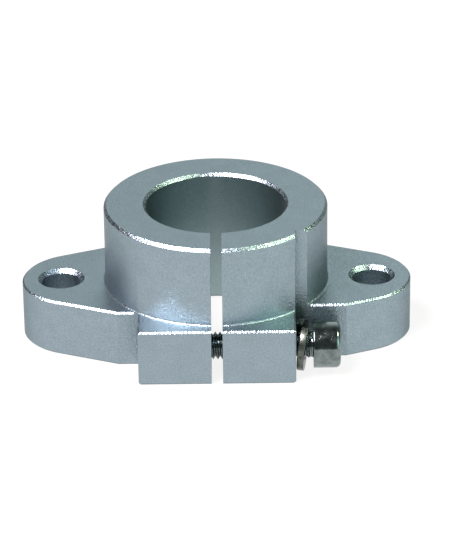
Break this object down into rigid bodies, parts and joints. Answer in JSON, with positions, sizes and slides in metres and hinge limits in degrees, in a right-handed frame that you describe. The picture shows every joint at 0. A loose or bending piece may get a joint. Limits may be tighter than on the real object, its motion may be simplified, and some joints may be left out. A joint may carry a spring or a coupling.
{
  "type": "shaft support block",
  "caption": "Flanged shaft support: a round boss on a bolted flange, bored through and split at the front, closed by a cap screw with a spring washer.",
  "frame": {"origin": "where the bore's axis meets the mounting face", "axes": "+X along the two bolt holes towards the screw's head, +Z along the bore away from the mounting face, clamp ears towards -Y"},
  "size_m": [0.07, 0.0423, 0.025],
  "materials": {
    "blasted_aluminium": "bead blasted and clear anodised",
    "plated_steel": "nickel plated, bright"
  },
  "bodies": {
    "block": {"support_block": "blasted_aluminium"},
    "washer": {"spring_washer": "plated_steel"},
    "screw": {"clamp_screw": "plated_steel"}
  },
  "joints": [
    {"name": "clamp_screw_turn", "type": "hinge", "parent": "block", "child": "washer", "pos_m": [0, -0.017, 0.005], "axis": [1, 0, 0], "range_deg": [-272, 3152]},
    {"name": "clamp_screw_travel", "type": "slide", "parent": "washer", "child": "screw", "axis": [1, 0, 0], "range_m": [-0.0006, 0.007]}
  ],
  "couplings": [
    {"joint": "clamp_screw_turn", "follows": "clamp_screw_travel", "rad_per_m": 7854}
  ]
}
